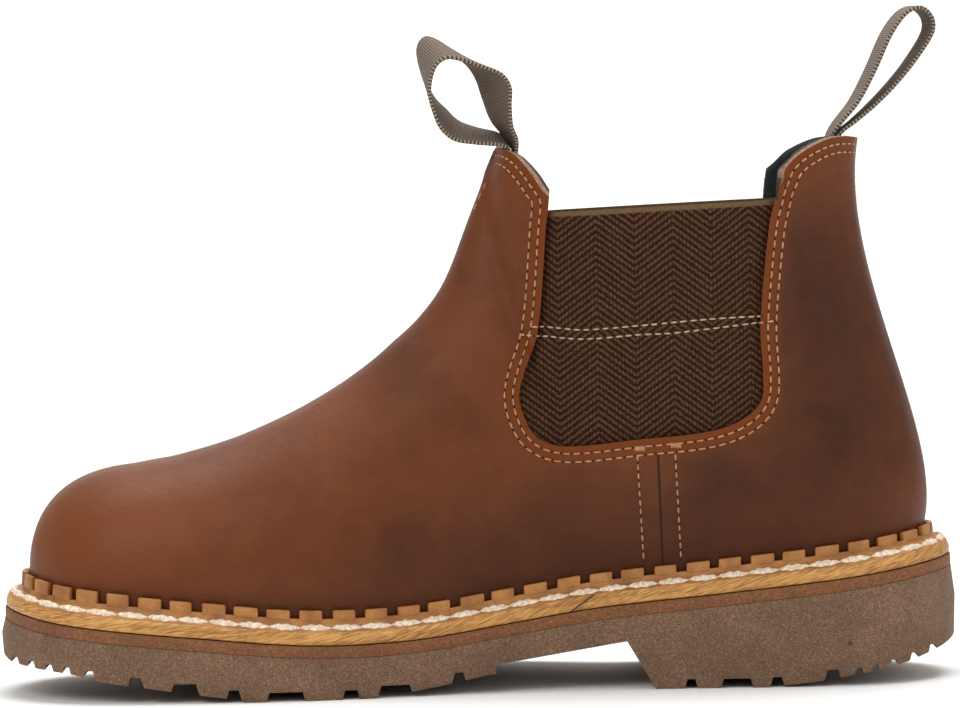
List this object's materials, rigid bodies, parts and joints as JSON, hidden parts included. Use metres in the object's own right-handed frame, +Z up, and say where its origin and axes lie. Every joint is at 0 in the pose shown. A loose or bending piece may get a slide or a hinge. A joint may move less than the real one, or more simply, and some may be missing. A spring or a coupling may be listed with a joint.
{
  "type": "side gore work boot",
  "caption": "Ankle-high pull-on work boot with elastic side gores, a hollow leather upper, a notched storm welt, a lugged rubber sole and webbing pull loops.",
  "frame": {"origin": "on the floor under the middle of the boot's bounding box", "axes": "+X towards the heel along the boot's length, -X towards the toe, +Y towards the lateral side, +Z up"},
  "size_m": [0.29, 0.1056, 0.203],
  "materials": {
    "leather": "oiled, satin, with darker pull-up patches",
    "elastic": "woven herringbone, matt",
    "welt": "tan, smooth, with a cut edge",
    "midsole": "fine speckle, matt",
    "outsole": "coarse speckle, matt",
    "insole": "dark felt",
    "webbing": "ribbed weave with pale selvedges"
  },
  "bodies": {
    "root": {"outsole": "outsole", "midsole": "midsole", "welt": "welt", "insole": "insole", "upper": "leather", "gore_medial": "elastic", "gore_lateral": "elastic", "pull_loop_front": "webbing", "pull_loop_back": "webbing"}
  },
  "joints": []
}
